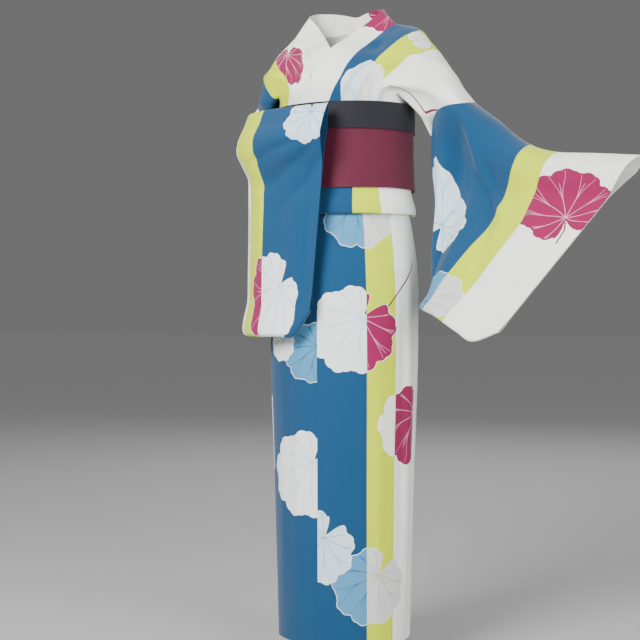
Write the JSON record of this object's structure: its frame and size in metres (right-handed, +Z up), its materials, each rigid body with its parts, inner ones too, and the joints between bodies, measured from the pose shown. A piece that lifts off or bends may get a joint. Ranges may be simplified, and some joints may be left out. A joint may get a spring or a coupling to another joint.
{
  "type": "cotton yukata robe (east asian dress)",
  "caption": "Women's cotton yukata robe as worn, in blue, yellow and white stripes with large round leaves, with a magenta half-width obi folded to show black.",
  "frame": {"origin": "the middle of the neck opening, at the level where the robe rests on the wearer's shoulders", "axes": "+X to the wearer's left, front at -Y, +Z up"},
  "size_m": [0.8875, 0.3514, 1.3951],
  "materials": {
    "printed_cotton": "matt plain-weave cotton, printed",
    "white_cotton": "matt plain-weave cotton",
    "obi_magenta": "firm woven band, low sheen",
    "obi_black": "firm woven band, low sheen"
  },
  "bodies": {
    "root": {"left_body": "printed_cotton", "right_body": "printed_cotton", "left_okumi": "printed_cotton", "right_okumi": "printed_cotton", "left_sleeve": "printed_cotton", "right_sleeve": "printed_cotton", "collar": "white_cotton", "obi": "obi_magenta", "obi_fold": "obi_black", "obi_knot": "obi_magenta", "obi_knot_band": "obi_magenta"}
  },
  "joints": []
}
